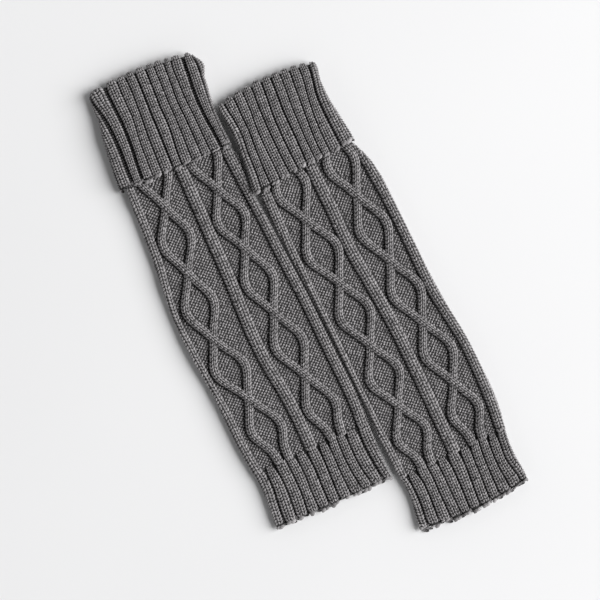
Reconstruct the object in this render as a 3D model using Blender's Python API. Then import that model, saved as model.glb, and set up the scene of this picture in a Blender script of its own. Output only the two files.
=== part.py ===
"""A pair of cable-knit leg warmers, laid flat side by side on a table.

Each warmer is a knitted tube in three bands: a ribbed cuff turned down over itself, a leg with two ogee
cables between knit columns, and a ribbed hem. A band is a wall of cloth lofted through flattened rings:
its back rests flat on the table, its sides roll over, and its front carries the ribs and cables.

Down is the distance below the top of a warmer along its own axis, and across is to its right. Both are in
millimetres, as are all sizes here. Blender's Y runs up the warmers, against down.
"""

import math

import bpy
import numpy as np

MM = 0.001

# The cloth
WALL = 2.1  # plain knitted ground
PANEL_GAP = 0.6  # between the front and the back of a flattened tube
LAYER_GAP = 0.4  # between the turned layer of a cuff and the one beneath it
SEAM_GAP = 0.3
RIB_RISE = 1.8
CABLE_RISE = 2.5
CROSSING_RISE = 0.6  # more, where one strand passes over the other
COLUMN_RISE = 2.1

# Widths across the front
VALLEY_SIDE = 0.7  # slope of the cloth beside the floor of a valley
STRAND_WIDTH = 7.8
STRAND_CREST = 0.5  # share of a strand's width that its flat crest takes
COLUMN_WIDTH = 10.8
COLUMN_CREST = 0.74
STRANDS_TOUCH = 2.2  # half the distance between two strands as they cross
STRANDS_PART = 5.0  # and as they run into two ribs of the hem
PART_LENGTH = 22.0
LEAST_STEP = 0.35  # between neighbouring points of a ring
SIDE_STEP = 1.5  # from the side of a plain ring to its next column

# Down the warmer
RING_STEP = 6.2
SEAM_HIDDEN = 3.0  # how far above the cuff's edge its inner layer meets the leg
PRESSED_FROM = 1.3  # below the cuff's edge, where the bands of the leg start to come up
PRESSED_LENGTH = 5.0  # over which they come up
DROP_LENGTH = 32.0  # over which the leg comes down to the table below the cuff
EDGE_ROUND = 0.7
EDGE_SCALLOP = 0.8  # how far ribs reach past the valleys at a free edge
SIDE_RISE_LOST = 0.6  # share of a rise that is pressed flat where a side rolls over

TUBE_HEIGHT = 2 * WALL + PANEL_GAP
FOLD_RADIUS = WALL + LAYER_GAP / 2
LAYER_STEP = WALL + LAYER_GAP
CUFF_HEIGHT = TUBE_HEIGHT + 2 * LAYER_STEP


def table(columns, *rows):
    """The rows as a dictionary of named columns."""
    return dict(zip(columns.split(), np.array(rows, float).T))


def read(rows, column, down):
    """The column at this distance down, on a smooth curve through the rows."""
    x, y = rows["down"], rows[column]
    slope = np.gradient(y, x)
    down = np.clip(down, x[0], x[-1])
    i = np.clip(np.searchsorted(x, down) - 1, 0, len(x) - 2)
    step = x[i + 1] - x[i]
    t = (down - x[i]) / step
    return (
        y[i] * (1 + 2 * t) * (1 - t) ** 2
        + y[i + 1] * t * t * (3 - 2 * t)
        + slope[i] * step * t * (1 - t) ** 2
        - slope[i + 1] * step * t * t * (1 - t)
    )


def smooth(t):
    """0 to 1 with level ends."""
    t = np.clip(t, 0, 1)
    return t * t * (3 - 2 * t)


WARMERS = {
    "left": {
        "place": (-47.7, 233.9),
        "turn": -0.95,
        "fold": -7.5,
        "cuff_edge": 86.0,
        "hem_seam": 365.0,
        "hem_edge": 419.2,
        "cuff": table(
            "down left right",
            (-10, -53.6, 47.8),
            (-4, -54.2, 48.6),
            (1, -54.4, 51.6),
            (8, -54.5, 53.4),
            (13, -54.5, 52.0),
            (19, -54.6, 49.6),
            (27, -56.2, 48.8),
            (38, -58.6, 47.4),
            (50, -59.7, 46.2),
            (72, -61.9, 45.9),
            (90, -62.8, 46.9),
        ),
        "cuff_valleys": {
            "gaps": (2.4, 3.4, 1.4, 1.4, 2.0, 1.6, 1.4, 1.4, 1.4, 3.2, 1.8),
            "rows": table(
                "down 0 1 2 3 4 5 6 7 8 9 10",
                (-5, -52.4, -36.8, -24.7, -16.2, -7.0, 3.2, 11.3, 20.3, 27.0, 38.0, 46.6),
                (5, -51.4, -36.8, -25.0, -15.9, -7.0, 2.8, 10.9, 19.7, 25.8, 37.0, 47.4),
                (15, -49.6, -36.4, -25.0, -16.3, -7.4, 2.4, 10.6, 19.0, 25.6, 36.2, 46.8),
                (30, -47.8, -35.7, -24.9, -17.2, -8.1, 1.7, 10.2, 17.8, 25.3, 34.8, 45.4),
                (50, -47.4, -36.2, -27.4, -18.9, -8.6, 1.7, 10.2, 18.3, 26.1, 34.6, 43.6),
                (75, -48.6, -38.7, -29.0, -20.0, -9.4, -0.9, 9.1, 18.3, 26.5, 36.6, 43.6),
                (86, -48.8, -39.5, -29.5, -20.4, -9.8, -1.4, 8.7, 18.2, 26.8, 37.2, 44.0),
            ),
        },
        "hem_valleys": {
            "gaps": (2.0, 1.8, 1.6, 1.4, 2.0, 1.8, 1.4, 1.6, 1.6, 2.4),
            "rows": table(
                "down 0 1 2 3 4 5 6 7 8 9",
                (366, -45.0, -35.8, -24.2, -15.0, -4.4, 7.2, 16.7, 25.6, 34.2, 45.6),
                (385, -44.8, -34.0, -23.3, -13.7, -3.4, 7.2, 16.7, 25.0, 33.9, 45.6),
                (400, -46.4, -34.5, -23.3, -14.4, -3.9, 6.7, 16.7, 25.8, 34.8, 46.7),
                (416, -47.6, -35.9, -24.8, -14.4, -4.1, 6.2, 17.3, 27.9, 37.8, 48.6),
            ),
        },
        "leg": table(
            "down left right",
            (70, -54.8, 43.0),
            (86, -56.0, 43.4),
            (98, -57.6, 48.6),
            (112, -58.9, 48.6),
            (134, -60.2, 45.2),
            (146, -61.0, 47.4),
            (162, -61.8, 49.3),
            (186, -63.8, 51.4),
            (207, -65.2, 53.7),
            (252, -64.4, 56.2),
            (282, -60.9, 57.8),
            (320, -60.0, 59.4),
            (342, -59.2, 59.7),
            (362, -57.0, 59.2),
            (378, -54.7, 57.8),
            (390, -54.8, 56.6),
            (418, -56.9, 56.8),
        ),
        "columns": table(
            "down left right",
            (90, -49.4, 35.6),
            (130, -50.6, 38.4),
            (162, -52.8, 40.7),
            (185, -56.4, 41.9),
            (207, -59.0, 43.1),
            (240, -57.6, 45.4),
            (275, -54.8, 46.5),
            (300, -52.0, 47.3),
            (342, -50.0, 48.5),
            (365, -47.4, 47.2),
        ),
        "bow": table(
            "down edges tilt",
            (-10, 4.6, 1.6),
            (30, 1.0, 0.6),
            (86, -1.0, 0.8),
            (200, 0.0, 0.0),
            (365, 0.0, 0.0),
            (418, -1.6, 0.0),
        ),
        "centre": table(
            "down across",
            (90, -3.6),
            (162, -3.8),
            (207, -4.2),
            (243, -5.4),
            (279, -4.4),
            (306, -1.0),
            (333, 1.2),
            (365, 1.6),
        ),
        "cables": (
            {
                "swing": 13.6,
                "crossings": table(
                    "down across",
                    (52.0, -27.0),
                    (115.2, -30.6),
                    (177.3, -36.0),
                    (240.3, -39.2),
                    (301.5, -32.2),
                    (364.5, -25.4),
                    (427.0, -25.4),
                ),
            },
            {
                "swing": 13.0,
                "crossings": table(
                    "down across",
                    (56.0, 18.4),
                    (119.0, 18.9),
                    (177.3, 19.8),
                    (240.3, 20.2),
                    (303.3, 22.8),
                    (366.0, 27.0),
                    (428.0, 27.0),
                ),
            },
        ),
    },
    "right": {
        "place": (52.4, 183.4),
        "turn": 0.95,
        "fold": -3.5,
        "cuff_edge": 82.6,
        "hem_seam": 372.0,
        "hem_edge": 427.0,
        "cuff": table(
            "down left right",
            (-6, -51.4, 44.0),
            (4, -52.8, 44.4),
            (14, -51.8, 42.5),
            (36, -51.6, 41.9),
            (50, -52.4, 43.2),
            (63, -53.8, 44.6),
            (77, -56.8, 46.0),
            (88, -58.4, 46.3),
        ),
        "cuff_valleys": {
            "gaps": (1.6, 1.6, 1.4, 1.6, 1.8, 2.0, 1.4, 1.6, 1.4, 2.4),
            "rows": table(
                "down 0 1 2 3 4 5 6 7 8 9",
                (-4, -45.8, -35.8, -26.2, -17.2, -7.2, 2.0, 11.0, 20.0, 28.6, 37.0),
                (5, -45.4, -35.9, -26.7, -17.8, -8.1, 1.3, 10.3, 19.1, 28.2, 36.8),
                (15, -44.2, -36.3, -27.2, -18.9, -9.1, 0.6, 9.4, 18.1, 27.0, 35.2),
                (30, -43.6, -36.3, -28.9, -19.8, -10.9, -0.8, 7.8, 16.7, 24.4, 32.4),
                (50, -45.7, -38.2, -29.7, -20.2, -11.7, -1.1, 6.7, 14.8, 21.9, 31.4),
                (70, -47.2, -39.4, -29.7, -20.2, -11.7, -1.7, 6.1, 13.4, 21.0, 31.8),
                (83, -49.0, -39.8, -30.0, -19.8, -11.3, -2.4, 6.3, 13.8, 21.0, 32.2),
            ),
        },
        "hem_valleys": {
            "gaps": (2.0, 1.8, 1.6, 1.4, 1.8, 1.8, 1.6, 1.6, 1.6, 1.6),
            "rows": table(
                "down 0 1 2 3 4 5 6 7 8 9",
                (372, -43.8, -34.9, -23.7, -14.2, -4.2, 8.0, 18.8, 28.2, 36.7, 45.4),
                (385, -43.1, -33.0, -23.3, -13.9, -3.7, 7.8, 17.1, 26.3, 34.9, 44.1),
                (400, -43.3, -33.3, -23.9, -14.2, -4.0, 6.7, 16.3, 25.2, 34.1, 43.0),
                (420, -45.5, -34.9, -24.2, -14.3, -5.3, 4.6, 14.6, 24.4, 35.1, 46.2),
            ),
        },
        "leg": table(
            "down left right",
            (66, -49.0, 41.2),
            (80, -49.6, 41.8),
            (91, -53.4, 45.6),
            (104, -54.4, 50.6),
            (119, -53.8, 53.8),
            (140, -52.3, 54.6),
            (162, -51.5, 54.8),
            (207, -50.8, 54.9),
            (252, -50.0, 57.0),
            (277, -49.8, 59.2),
            (306, -50.4, 60.2),
            (342, -51.6, 60.0),
            (360, -51.2, 57.8),
            (378, -49.8, 53.8),
            (390, -49.4, 52.6),
            (425, -54.4, 53.2),
        ),
        "columns": table(
            "down left right",
            (90, -42.2, 41.2),
            (124, -43.6, 44.0),
            (150, -44.6, 44.9),
            (190, -44.8, 45.2),
            (235, -44.6, 45.3),
            (260, -44.8, 48.2),
            (282, -44.8, 50.5),
            (318, -44.6, 50.5),
            (345, -43.6, 49.0),
            (372, -43.2, 46.2),
        ),
        "bow": table(
            "down edges tilt",
            (-6, 5.2, 1.0),
            (30, 1.0, -1.6),
            (83, 0.0, -2.4),
            (200, 0.0, 0.0),
            (372, 0.0, 0.0),
            (425, -5.4, 0.4),
        ),
        "centre": table(
            "down across",
            (90, 0.0),
            (126, 0.3),
            (162, -0.4),
            (207, 2.5),
            (252, 5.0),
            (288, 5.2),
            (333, 4.8),
            (372, 4.4),
        ),
        "cables": (
            {
                "swing": 14.2,
                "crossings": table(
                    "down across",
                    (62.0, -23.0),
                    (126.0, -24.8),
                    (190.8, -22.5),
                    (252.9, -21.8),
                    (312.3, -22.9),
                    (370.0, -23.2),
                    (429.0, -23.0),
                ),
            },
            {
                "swing": 12.9,
                "crossings": table(
                    "down across",
                    (64.0, 25.6),
                    (127.8, 26.1),
                    (192.6, 27.2),
                    (254.7, 29.4),
                    (315.0, 30.8),
                    (372.0, 27.4),
                    (430.0, 27.0),
                ),
            },
        ),
    },
}

# A small rise and fall of the front panel, where the cloth doesn't lie quite flat
WAVES = table(
    "down across length width rise",
    (140, 30, 60, 26, 0.5),
    (205, -46, 70, 22, 0.7),
    (270, 8, 80, 20, 0.4),
    (330, -42, 60, 24, 0.6),
    (345, 40, 70, 24, 0.5),
)


def lift_below_cuff(warmer, down):
    """How far a tube's back is off the table: one cloth layer within the cuff, then down to nothing."""
    return LAYER_STEP * smooth(1 - (down - warmer["cuff_edge"] - 1.0) / DROP_LENGTH)


def wave(down, across):
    """The front panel's extra height, as soft mounds that die out towards the rolled sides."""
    total = 0.0
    for d, a, length, width, rise in zip(*WAVES.values()):
        total = total + rise * np.exp(-(((down - d) / length) ** 2) - ((across - a) / width) ** 2)
    return total


def upper(left, right, bottom, height, x):
    """The height and outward direction of a flattened tube's front at each x, round its rolled sides."""
    radius = height / 2
    past = np.maximum(0, left + radius - x) - np.maximum(0, x - right + radius)
    past = np.clip(past / radius, -1, 1)
    rise = np.sqrt(1 - past**2)
    return bottom + radius + radius * rise, -past, rise


def lower_columns(left, right, radius):
    """The x of a ring's back, from its right side to its left, close together round the rolls."""
    roll = np.array([0.28, 1.0]) * radius
    flat = np.linspace(right - radius, left + radius, 4)[1:-1]
    return np.concatenate([right - roll, flat, left + roll[::-1]])


def apart(x, left, right):
    """The same places, moved where neighbours would pass each other or leave the ring."""
    x = np.clip(x, left, right)
    for i in range(1, len(x)):
        x[i] = max(x[i], x[i - 1] + LEAST_STEP)
    x[-1] = min(x[-1], right)
    for i in range(len(x) - 2, -1, -1):
        x[i] = min(x[i], x[i + 1] - LEAST_STEP)
    return x


def mirrored(points, middle):
    """The same x and rise on the other side of the middle, still from left to right."""
    return [(2 * middle - x, rise) for x, rise in reversed(points)]


def cable_front(cable, down, to_hem):
    """A cable's two strands, each a foot, two shoulders and a foot.

    They swing apart and meet again, nearly straight between rounded corners, and over the last stretch
    above the hem they draw level with its ribs.
    """
    crossings = cable["crossings"]
    middle = float(read(crossings, "across", down))
    turns = np.interp(down, crossings["down"], np.arange(len(crossings["down"])))
    zigzag = (math.sin(math.pi * turns) - 0.1 * math.sin(3 * math.pi * turns)) / 1.1
    swing = cable["swing"] * zigzag
    parting = float(smooth(1.2 - to_hem / PART_LENGTH))
    offset = math.hypot(swing, STRANDS_TOUCH + (STRANDS_PART - STRANDS_TOUCH) * parting)
    crossing = math.exp(-((swing / 3.0) ** 2)) * (1 - parting)
    rise = CABLE_RISE + CROSSING_RISE * crossing
    outer = STRAND_WIDTH / 2
    inner = min(outer, offset - LEAST_STEP / 2)
    steps = (-outer, -outer * STRAND_CREST, inner * STRAND_CREST, inner)
    rises = (0.0, rise, rise, 0.75 * rise * crossing)
    strand = [(middle - offset + step, up) for step, up in zip(steps, rises)]
    return strand + mirrored(strand, middle)


def column_front(centre):
    """A knit column, as x and rise."""
    half = COLUMN_WIDTH / 2
    column = [(centre - half, 0.0), (centre - half * COLUMN_CREST, COLUMN_RISE)]
    return column + mirrored(column, centre)


def side_front(edge, inner):
    """A knit column along a side, from the tube's edge to the column's inner edge, as x and rise."""
    shares = (0.0, 0.1, 0.35, 0.84, 1.0)
    rises = (0.0, 0.7, 1.0, 1.0, 0.0)
    return [(edge + share * (inner - edge), rise * COLUMN_RISE) for share, rise in zip(shares, rises)]


def leg_front(warmer, down, left, right):
    """The front of a leg's ring: side columns, two cables and the centre column, as x and rise."""
    left_side = side_front(left, float(read(warmer["columns"], "left", down)))
    right_side = side_front(right, float(read(warmer["columns"], "right", down)))
    first, second = (cable_front(c, down, warmer["hem_seam"] - down) for c in warmer["cables"])
    centre = column_front(float(read(warmer["centre"], "across", down)))
    points = left_side + first + centre + second + right_side[::-1]
    x, rise = np.array(points).T
    pressed = float(smooth((down - warmer["cuff_edge"] - PRESSED_FROM) / PRESSED_LENGTH))
    return apart(x, left, right), rise * pressed


def rib_front(valleys, left, right, rise, down):
    """The front of a ribbed ring: broad flat-topped ribs between valleys, as x and rise.

    valleys holds where each valley is at some distances down, and how wide its floor is. The outermost
    ribs roll over the sides.
    """
    x, rises = [left], [0.5 * rise]
    floors = [read(valleys["rows"], str(i), down) for i in range(len(valleys["gaps"]))]
    reaches = [gap / 2 + VALLEY_SIDE for gap in valleys["gaps"]]
    starts = zip([left, *floors], [VALLEY_SIDE, *reaches])
    ends = zip([*floors, right], [*reaches, VALLEY_SIDE])
    for (start, after), (end, before) in zip(starts, ends):
        x += [start + after, (start + end) / 2, end - before, end]
        rises += [0.92 * rise, rise, 0.92 * rise, 0.0]
    rises[-1] = 0.5 * rise
    return apart(np.array(x, float), left, right), np.array(rises)


def plain_front(left, right, columns):
    """The front of a ring with nothing raised on it, its outermost columns close to the sides."""
    x = [left, *np.linspace(left + SIDE_STEP, right - SIDE_STEP, columns - 2), right]
    return np.array(x), np.zeros(columns)


def ring(warmer, down, sides, bottom, height, front, shift=0.0):
    """A ring's points: its front from left to right, then its back from right to left.

    sides are its left and right edges, front the x and rise of its front's columns, and shift moves
    raised points up the warmer, where the cloth turns over a fold.
    """
    left, right = sides
    x, rise = front
    z, out_x, out_z = upper(left, right, bottom, height, x)
    rise = rise * (1 - SIDE_RISE_LOST * out_x**2)
    z = z + wave(down, x) * np.clip(out_z, 0, 1) ** 4
    back_x = lower_columns(left, right, height / 2)
    back_top = upper(left, right, bottom, height, back_x)[0]
    xs = np.concatenate([x + rise * out_x, back_x])
    zs = np.concatenate([z + rise * out_z, 2 * bottom + height - back_top])
    half = (right - left) / 2
    from_middle = (xs - (left + right) / 2) / half
    edges = read(warmer["bow"], "edges", down)
    tilt = read(warmer["bow"], "tilt", down)
    downs = down + edges * from_middle**2 + tilt * from_middle
    downs[: len(x)] -= shift * rise / max(rise.max(), 1e-9)
    return np.stack([xs, -downs, zs], axis=1)


def tube_ring(warmer, down, front_of, inset=0.0, columns=0, shift=0.0):
    """A ring of the single tube: its outer face with a front from front_of, or a plain one set in."""
    left = float(read(warmer["leg"], "left", down)) + inset
    right = float(read(warmer["leg"], "right", down)) - inset
    bottom = float(lift_below_cuff(warmer, down)) + inset
    front = plain_front(left, right, columns) if columns else front_of(left, right, down)
    return ring(warmer, down, (left, right), bottom, TUBE_HEIGHT - 2 * inset, front, shift)


def cuff_ring(warmer, down, inset, rise=0.0, shift=0.0, columns=0):
    """A ring of the turned cuff, set in from its outside, ribbed with this rise or with plain columns."""
    left = float(read(warmer["cuff"], "left", down)) + inset
    right = float(read(warmer["cuff"], "right", down)) - inset
    if columns:
        front = plain_front(left, right, columns)
    else:
        front = rib_front(warmer["cuff_valleys"], left, right, rise, down)
    return ring(warmer, down, (left, right), inset, CUFF_HEIGHT - 2 * inset, front, shift)


def shares(points):
    """How far round its ring each point is, from 0 to 1, by its way across."""
    steps = np.abs(np.roll(points[:, 0], -1) - points[:, 0])
    return np.concatenate([[0], np.cumsum(steps)[:-1]]) / steps.sum()


def band_between(first, second, a, b):
    """Faces between two rings, whose first points are a and b: quads if they match, else triangles."""
    n, m = len(first), len(second)
    if n == m:
        return [(a + i, a + (i + 1) % n, b + (i + 1) % n, b + i) for i in range(n)]
    round_a = np.append(shares(first), 1.0)
    round_b = np.append(shares(second), 1.0)
    faces, i, j = [], 0, 0
    while i < n or j < m:
        if j == m or (i < n and round_a[i + 1] <= round_b[j + 1]):
            faces.append((a + i, a + (i + 1) % n, b + j % m))
            i += 1
        else:
            faces.append((a + i % n, b + (j + 1) % m, b + j))
            j += 1
    return faces


def knitted(name, warmer, rings, material, collection):
    """A closed wall through these rings, the last joined to the first, put in its place in the pair."""
    starts = np.cumsum([0] + [len(r) for r in rings])
    faces = []
    for i, first in enumerate(rings):
        j = (i + 1) % len(rings)
        faces += band_between(first, rings[j], starts[i], starts[j])
    mesh = bpy.data.meshes.new(name)
    mesh.from_pydata(np.concatenate(rings) * MM, [], [f[::-1] for f in faces])
    mesh.shade_smooth()
    mesh.set_sharp_from_angle(angle=math.radians(50))
    mesh.materials.append(material)
    made = bpy.data.objects.new(name, mesh)
    made.location = (warmer["place"][0] * MM, warmer["place"][1] * MM, 0)
    made.rotation_euler.z = math.radians(warmer["turn"])
    collection.objects.link(made)


def knit_material(name, colour):
    """Soft, rough yarn of one colour."""
    material = bpy.data.materials.new(name)
    material.use_nodes = True
    shader = material.node_tree.nodes["Principled BSDF"]
    shader.inputs["Base Color"].default_value = (*colour, 1)
    shader.inputs["Roughness"].default_value = 0.9
    shader.inputs["Metallic"].default_value = 0.0
    return material


def make_leg(side, warmer, material, collection):
    """The cable-knit tube from just within the cuff to the hem band."""
    edge = warmer["cuff_edge"]
    top = edge - SEAM_HIDDEN + SEAM_GAP
    end = warmer["hem_seam"]
    pressed = [top, edge + PRESSED_FROM, edge + PRESSED_FROM + PRESSED_LENGTH / 2]
    below = edge + PRESSED_FROM + PRESSED_LENGTH
    outer = np.append(pressed, np.linspace(below, end, round((end - below) / RING_STEP) + 1))
    inner = np.linspace(end, top, round((end - top) / (3.4 * RING_STEP)) + 1)

    def front(left, right, down):
        return leg_front(warmer, down, left, right)

    rings = [tube_ring(warmer, down, front) for down in outer]
    rings += [tube_ring(warmer, down, None, WALL, 11) for down in inner]
    knitted(f"{side}_leg", warmer, rings, material, collection)


def make_hem(side, warmer, material, collection):
    """The ribbed band at the ankle, its free edge rounded."""
    top = warmer["hem_seam"] + SEAM_GAP
    end = warmer["hem_edge"]

    def front(left, right, down):
        strength = 0.6 + 0.4 * float(smooth((down - top) / 12))
        return rib_front(warmer["hem_valleys"], left, right, RIB_RISE * strength, down)

    def edge_front(left, right, down):
        x, rise = front(left, right, down)
        return x, 0.5 * rise

    rings = [tube_ring(warmer, down, front) for down in np.linspace(top, end - 6, 7)]
    rings.append(tube_ring(warmer, end - EDGE_ROUND, front, shift=-EDGE_SCALLOP))
    rings.append(tube_ring(warmer, end, edge_front, EDGE_ROUND, shift=-EDGE_SCALLOP))
    rings += [tube_ring(warmer, down, None, WALL, 11) for down in np.linspace(end, top, 4)]
    knitted(f"{side}_hem", warmer, rings, material, collection)


def make_cuff(side, warmer, material, collection):
    """The ribbed band turned down over itself, from its free edge over the fold to its seam with the leg."""
    edge = warmer["cuff_edge"]
    turn = warmer["fold"] + FOLD_RADIUS
    seam = edge - SEAM_HIDDEN
    rings = [cuff_ring(warmer, edge, EDGE_ROUND, 0.5 * RIB_RISE, -EDGE_SCALLOP)]
    rings.append(cuff_ring(warmer, edge - EDGE_ROUND, 0.0, RIB_RISE, -EDGE_SCALLOP))
    for down in np.linspace(edge - 6, turn, 10):
        rings.append(cuff_ring(warmer, down, 0.0, RIB_RISE))
    for angle in np.radians([35, 70, 100]):
        reach = RIB_RISE * math.sin(angle)
        rings.append(
            cuff_ring(
                warmer,
                turn - FOLD_RADIUS * math.sin(angle),
                FOLD_RADIUS * (1 - math.cos(angle)),
                max(0.0, RIB_RISE * math.cos(angle)),
                reach,
            )
        )
    for down in (turn - 0.5, turn + 4, edge * 0.4, edge * 0.7):
        rings.append(cuff_ring(warmer, down, 2 * WALL + LAYER_GAP, columns=11))
    for down in (edge - 8, seam):
        rings.append(tube_ring(warmer, down, None, WALL, 11))
    for down in (seam, edge - 8):
        rings.append(tube_ring(warmer, down, None, 0.0, 13))
    for down in (edge * 0.7, edge * 0.4, turn):
        rings.append(cuff_ring(warmer, down, LAYER_STEP, columns=13))
    for down in (turn, edge * 0.4, edge * 0.7, edge):
        rings.append(cuff_ring(warmer, down, WALL, columns=13))
    knitted(f"{side}_cuff", warmer, rings[::-1], material, collection)


def main():
    for old in list(bpy.data.objects):
        bpy.data.objects.remove(old)
    collection = bpy.data.collections.new("leg_warmers")
    bpy.context.scene.collection.children.link(collection)
    for side, warmer in WARMERS.items():
        make_leg(side, warmer, knit_material(f"{side}_leg_knit", (0.105, 0.1, 0.102)), collection)
        make_hem(side, warmer, knit_material(f"{side}_hem_rib", (0.1, 0.095, 0.097)), collection)
        make_cuff(side, warmer, knit_material(f"{side}_cuff_rib", (0.11, 0.105, 0.107)), collection)


main()
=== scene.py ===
"""A pair of cable-knit leg warmers laid flat on white paper, with turned ribbed cuffs and ribbed hems.

Each warmer is a knitted tube. A thin cloth follows the tube, and every stitch on it is a short piece of
yarn. Down is the distance below the top of a warmer along its axis, and around is the distance round its
tube, which equals the distance to the right of the axis on the flat of its front. Sizes are in
millimetres, and MM turns them into metres.
"""

import math

import bpy
import numpy as np
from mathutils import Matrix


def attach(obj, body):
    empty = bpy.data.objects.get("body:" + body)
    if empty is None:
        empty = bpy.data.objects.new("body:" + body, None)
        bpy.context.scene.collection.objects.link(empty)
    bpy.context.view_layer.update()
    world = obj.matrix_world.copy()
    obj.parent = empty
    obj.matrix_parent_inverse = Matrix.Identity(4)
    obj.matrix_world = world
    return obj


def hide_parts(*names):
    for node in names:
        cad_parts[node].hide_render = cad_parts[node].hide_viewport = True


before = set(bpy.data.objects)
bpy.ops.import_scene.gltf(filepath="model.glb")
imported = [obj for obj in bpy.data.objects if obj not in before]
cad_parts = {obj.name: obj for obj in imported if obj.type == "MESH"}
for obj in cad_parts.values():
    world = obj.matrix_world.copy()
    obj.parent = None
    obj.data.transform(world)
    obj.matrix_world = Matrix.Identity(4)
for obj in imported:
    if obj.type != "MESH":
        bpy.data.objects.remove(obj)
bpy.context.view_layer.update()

MM = 0.001


# ---- Paper, lamp, room and camera -----------------------------------------------------------------
# A roll of white paper on a table, lit from the right by one broad lamp and from all round by the pale
# walls of a room with a dim ceiling. The camera looks straight down from 2.5 m, and is turned so that
# it sees the warmers at a slant.

VIEW_CENTRE = (-5.68, -6.88)
VIEW_TURN = -24.9037
VIEW_WIDTH = 540.0
CAMERA_HEIGHT = 2500.0
FILM_WIDTH = 36.0
LAMP_PLACE = (6.0, 0.5, 4.2)  # metres to the right and up as the camera sees it, and above the table
LAMP_SIZE = 6.0  # in metres, as is PAPER_HALF
LAMP_POWER = 1020.0
WALL_LIGHT = (0.95, 0.95, 0.95)
CEILING_LIGHT = (0.05, 0.05, 0.05)
WALL_TOP = 0.25  # sines of the heights where the room starts to dim and is dimmest
CEILING_FROM = 0.7
PAPER_HALF = 2.0
PAPER = (0.8, 0.8, 0.805)
PAPER_SHADE = (0.745, 0.745, 0.752)


class Shade:
    """An output of a material's node. Arithmetic on it adds Math nodes, and node() adds any other."""

    def __init__(self, tree, socket=None):
        self.tree, self.socket = tree, socket

    def node(self, kind, settings=(), inputs=(), output=0):
        """A new node with these settings, then these values or links on its inputs."""
        made = self.tree.nodes.new(kind)
        for name, value in dict(settings).items():
            setattr(made, name, value)
        for name, value in dict(inputs).items():
            if isinstance(value, Shade):
                self.tree.links.new(value.socket, made.inputs[name])
            else:
                made.inputs[name].default_value = value
        return Shade(self.tree, made.outputs[output])

    def output(self, number):
        """Another output of the same node."""
        return Shade(self.tree, self.socket.node.outputs[number])

    def math(self, operation, *values):
        return self.node("ShaderNodeMath", {"operation": operation}, enumerate(values))

    def blend(self, first, second):
        """The colour first where this is 0, and second where it is 1."""
        colours = [c if isinstance(c, Shade) else (*c, 1) for c in (first, second)]
        inputs = {0: self, 6: colours[0], 7: colours[1]}
        return self.node("ShaderNodeMix", {"data_type": "RGBA"}, inputs, output=2)

    def __add__(self, other):
        return self.math("ADD", self, other)

    def __sub__(self, other):
        return self.math("SUBTRACT", self, other)

    def __rsub__(self, other):
        return self.math("SUBTRACT", other, self)

    def __mul__(self, other):
        return self.math("MULTIPLY", self, other)

    __radd__ = __add__
    __rmul__ = __mul__


def new_material(name, roughness):
    """A material, its shader node, and a Shade to build its pattern from."""
    material = bpy.data.materials.new(name)
    material.use_nodes = True
    shader = material.node_tree.nodes["Principled BSDF"]
    shader.inputs["Roughness"].default_value = roughness
    return material, shader, Shade(material.node_tree)


def paper_material():
    """White paper, in broad areas very slightly darker."""
    material, shader, start = new_material("paper", roughness=0.8)
    place = start.node("ShaderNodeTexCoord", output=3)
    cloud = start.node("ShaderNodeTexNoise", inputs={"Vector": place, "Scale": 2.2, "Detail": 2.0})
    colour = cloud.blend(PAPER, PAPER_SHADE)
    material.node_tree.links.new(colour.socket, shader.inputs["Base Color"])
    return material


def add_lamp(name, place, size, power):
    """A square lamp, this far right and up in the view and above the table, aimed at the middle."""
    lamp = bpy.data.lights.new(name, "AREA")
    lamp.size = size
    lamp.energy = power
    turn = math.radians(VIEW_TURN)
    right, up, height = place
    made = bpy.data.objects.new(name, lamp)
    made.location = (
        right * math.cos(turn) - up * math.sin(turn),
        right * math.sin(turn) + up * math.cos(turn),
        height,
    )
    made.rotation_euler = made.location.to_track_quat("Z", "Y").to_euler()
    bpy.context.scene.collection.objects.link(made)


def room_light():
    """A world that is even at the walls and dims to the ceiling, by the height of each direction."""
    world = bpy.data.worlds.new("room")
    world.use_nodes = True
    start = Shade(world.node_tree)
    direction = start.node("ShaderNodeTexCoord")
    height = start.node("ShaderNodeSeparateXYZ", inputs={"Vector": direction}, output=2)
    overhead = start.node(
        "ShaderNodeMapRange",
        {"interpolation_type": "SMOOTHSTEP"},
        {"Value": height, "From Min": WALL_TOP, "From Max": CEILING_FROM},
    )
    colour = overhead.blend(WALL_LIGHT, CEILING_LIGHT)
    world.node_tree.links.new(colour.socket, world.node_tree.nodes["Background"].inputs["Color"])
    return world


scene = bpy.context.scene
scene.view_settings.view_transform = "Standard"
scene.world = room_light()
add_lamp("broad_lamp", LAMP_PLACE, LAMP_SIZE, LAMP_POWER)

camera = bpy.data.objects.new("camera", bpy.data.cameras.new("camera"))
camera.location = (VIEW_CENTRE[0] * MM, VIEW_CENTRE[1] * MM, CAMERA_HEIGHT * MM)
camera.rotation_euler.z = math.radians(VIEW_TURN)
camera.data.sensor_width = FILM_WIDTH
camera.data.lens = FILM_WIDTH * CAMERA_HEIGHT / VIEW_WIDTH
camera.data.clip_end = 20.0
scene.collection.objects.link(camera)
scene.camera = camera

corners = np.array([(-1, -1, 0), (1, -1, 0), (1, 1, 0), (-1, 1, 0)]) * PAPER_HALF
floor_mesh = bpy.data.meshes.new("paper")
floor_mesh.from_pydata(corners, [], [(0, 1, 2, 3)])
floor_mesh.materials.append(paper_material())
floor = bpy.data.objects.new("paper", floor_mesh)
scene.collection.objects.link(floor)


# ---- Legs: the cloth ------------------------------------------------------------------------------
# Each leg is a tube knitted from plied melange yarn. This is its ground fabric, one thin layer that
# runs across the front, over the two rolled sides and back along the table, under every stitch.

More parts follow.
